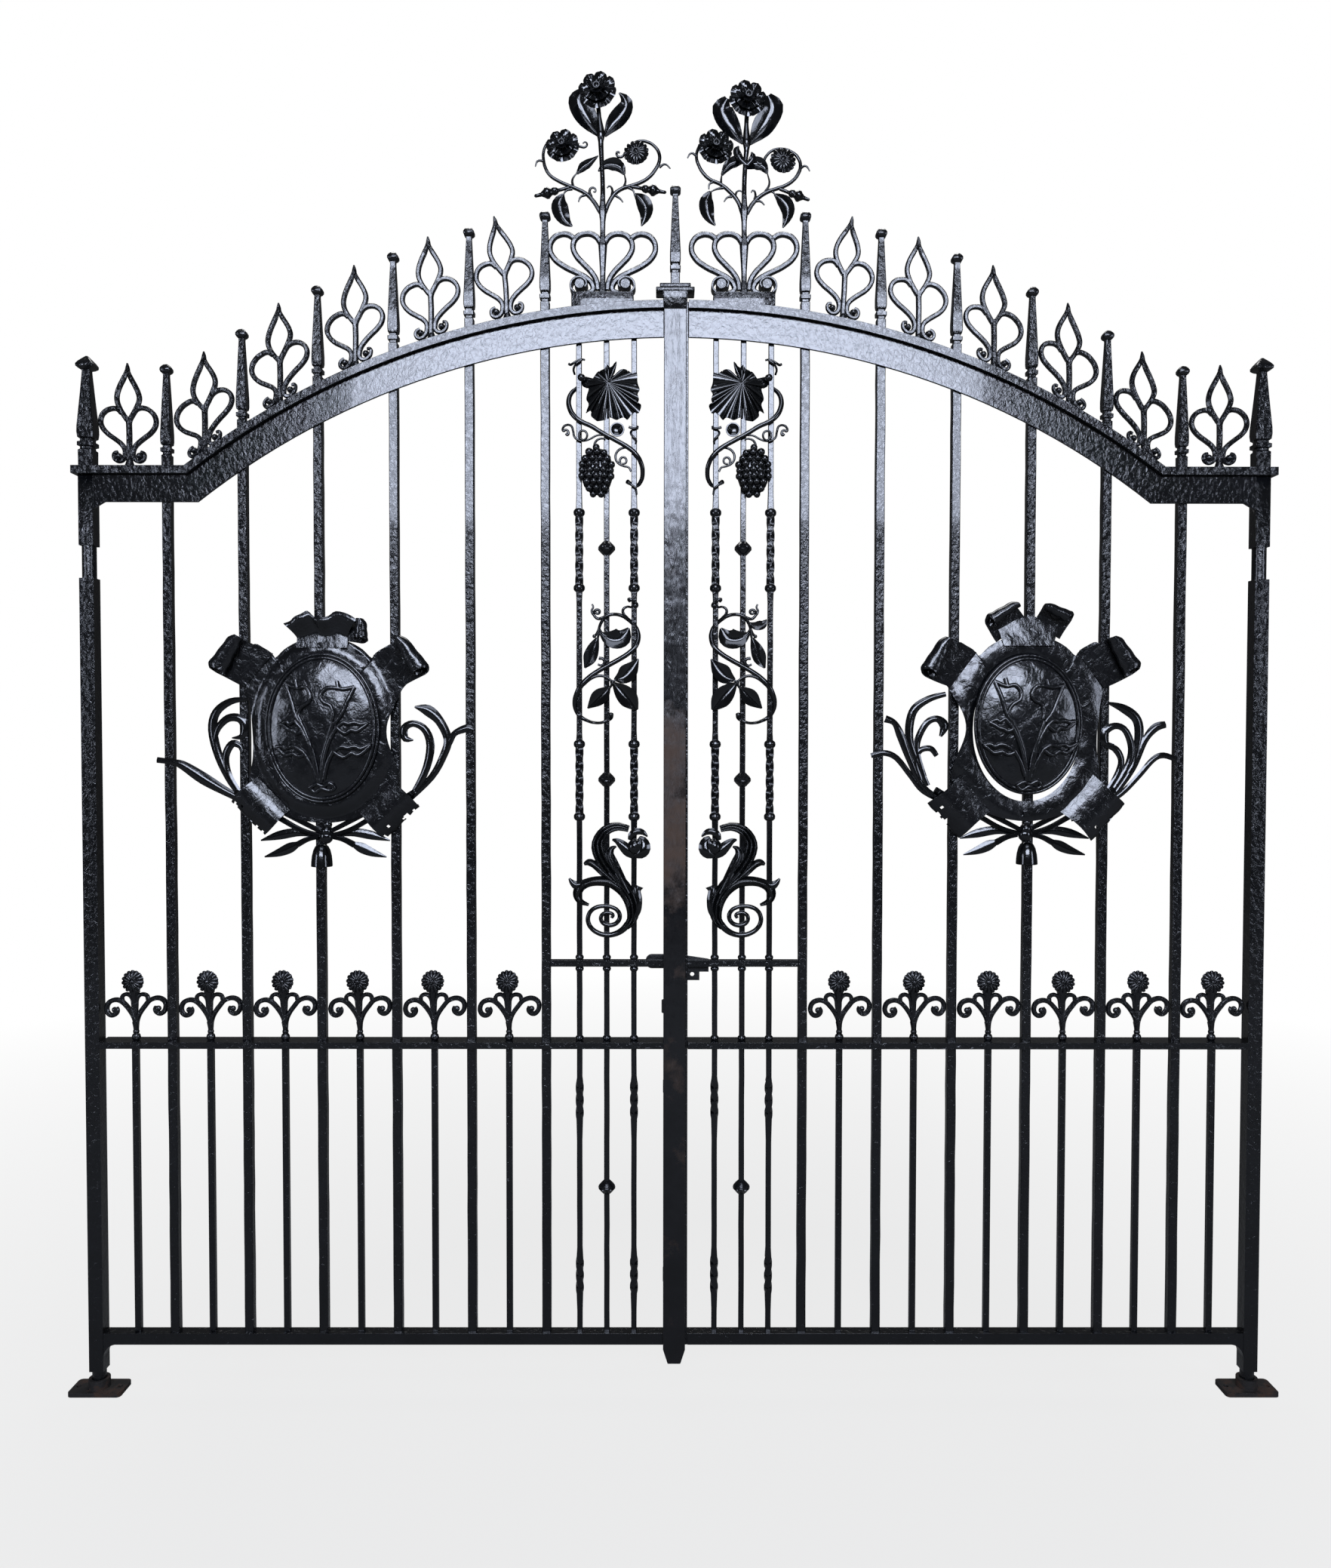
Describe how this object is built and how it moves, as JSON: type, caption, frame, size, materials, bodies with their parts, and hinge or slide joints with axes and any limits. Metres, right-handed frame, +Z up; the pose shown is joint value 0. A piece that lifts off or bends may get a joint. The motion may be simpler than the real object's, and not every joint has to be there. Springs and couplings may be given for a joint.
{
  "type": "wrought iron driveway gate",
  "caption": "Pair of arched wrought iron driveway gate leaves on heel pivots, with spear finials, scrolled trefoils, flower crests, oval shields, a sliding latch bolt and a drop bolt.",
  "frame": {"origin": "underside of the left pivot shoe, on the left leaf's pivot axis", "axes": "+X from the left heel to the right heel, +Y from the cover bar side to the bolt side, +Z up"},
  "size_m": [3.41, 0.1259, 3.6868],
  "materials": {
    "black_iron": "gloss black paint over pitted forged iron",
    "sheet_iron": "gloss black paint over hammered sheet, dented and torn at the edges",
    "hardware_iron": "worn black paint with rubbed and rusty edges",
    "cast_iron": "dull black casting with rust"
  },
  "bodies": {
    "ground_irons": {"left_pivot_shoe": "cast_iron", "right_pivot_shoe": "cast_iron"},
    "left_leaf": {"left_heel_post": "black_iron", "left_main_bars": "black_iron", "left_dog_bars": "black_iron", "left_panel_bars": "black_iron", "left_bottom_rail": "black_iron", "left_mid_rail": "black_iron", "left_lock_rail": "black_iron", "left_top_band": "black_iron", "left_cap_strip": "black_iron", "left_meeting_stile": "black_iron", "left_trefoils": "black_iron", "left_daisy_sprigs": "black_iron", "left_crest_fan": "black_iron", "left_crest_flowers": "black_iron", "left_grapevine": "black_iron", "left_leaf_spray": "black_iron", "left_acanthus_scroll": "black_iron", "left_shield_ring": "sheet_iron", "left_shield_medallion": "sheet_iron", "left_shield_reeds": "sheet_iron", "cover_bar": "black_iron", "centre_finial": "black_iron", "latch_guide": "hardware_iron", "drop_bolt_guides": "hardware_iron"},
    "right_leaf": {"right_heel_post": "black_iron", "right_main_bars": "black_iron", "right_dog_bars": "black_iron", "right_panel_bars": "black_iron", "right_bottom_rail": "black_iron", "right_mid_rail": "black_iron", "right_lock_rail": "black_iron", "right_top_band": "black_iron", "right_cap_strip": "black_iron", "right_meeting_stile": "black_iron", "right_trefoils": "black_iron", "right_daisy_sprigs": "black_iron", "right_crest_fan": "black_iron", "right_crest_flowers": "black_iron", "right_grapevine": "black_iron", "right_leaf_spray": "black_iron", "right_acanthus_scroll": "black_iron", "right_shield_ring": "sheet_iron", "right_shield_medallion": "sheet_iron", "right_shield_reeds": "sheet_iron", "bolt_keeper": "hardware_iron", "padlock_plate": "hardware_iron"},
    "latch_bolt": {"latch_bolt": "hardware_iron"},
    "drop_bolt": {"drop_bolt": "hardware_iron"}
  },
  "joints": [
    {"name": "left_leaf_hinge", "type": "hinge", "parent": "ground_irons", "child": "left_leaf", "pos_m": [0, 0, 0], "axis": [0, 0, -1], "range_deg": [0, 90]},
    {"name": "right_leaf_hinge", "type": "hinge", "parent": "ground_irons", "child": "right_leaf", "pos_m": [3.26, 0, 0], "axis": [0, 0, -1], "range_deg": [0, 90]},
    {"name": "latch_bolt_slide", "type": "slide", "parent": "left_leaf", "child": "latch_bolt", "axis": [1, 0, 0], "range_m": [0, 0.045]},
    {"name": "drop_bolt_slide", "type": "slide", "parent": "left_leaf", "child": "drop_bolt", "axis": [0, 0, 1], "range_m": [0, 0.08]}
  ]
}
